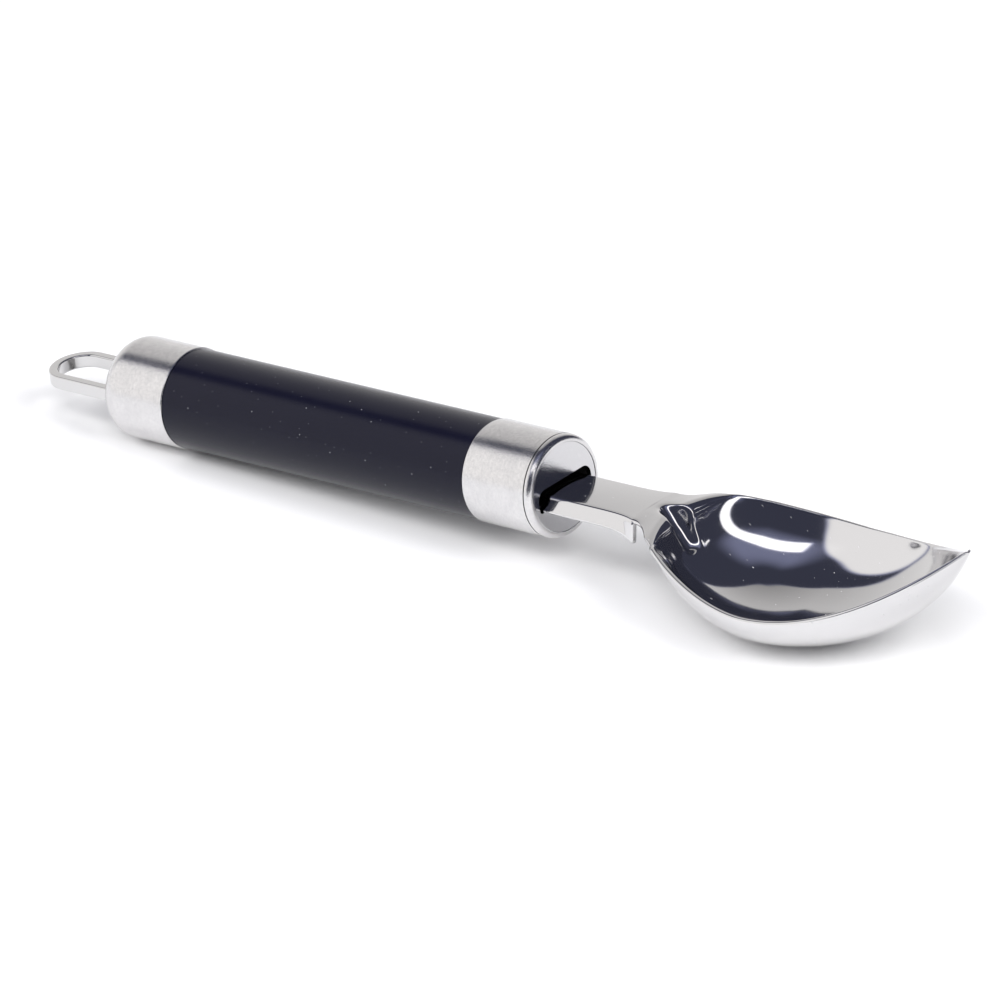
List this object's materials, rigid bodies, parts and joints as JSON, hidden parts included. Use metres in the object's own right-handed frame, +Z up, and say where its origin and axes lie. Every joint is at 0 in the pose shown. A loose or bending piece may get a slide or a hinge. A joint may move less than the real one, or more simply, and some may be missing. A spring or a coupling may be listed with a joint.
{
  "type": "ice cream scoop",
  "caption": "Rigid ice cream scoop: leaf-shaped pressed steel bowl with a pointed upturned tip, channel shank, round soft-grip handle with metal ferrules and a hanging loop.",
  "frame": {"origin": "bottom centre of the bounding box of the scoop lying at rest on its bowl and rear ferrule", "axes": "+Z up, out of the bowl; +X from the hanging loop towards the bowl's tip; the handle lies in the XZ plane and rises 2.9 degrees towards +X; +Y to the left, across the bowl"},
  "size_m": [0.2536, 0.0456, 0.0301],
  "materials": {
    "polished_steel": "mirror-polished stainless steel",
    "satin_steel": "fine brushed stainless steel",
    "soft_grip": "matt soft-touch",
    "core_plastic": "moulded, matt"
  },
  "bodies": {
    "root": {"scoop_head": "polished_steel", "front_disc": "polished_steel", "front_ferrule": "satin_steel", "grip_sleeve": "soft_grip", "rear_ferrule": "satin_steel", "hanging_loop": "polished_steel", "loop_pin": "satin_steel", "core_upper": "core_plastic", "core_lower": "core_plastic", "front_tang_rivet": "satin_steel", "rear_tang_rivet": "satin_steel"}
  },
  "joints": []
}
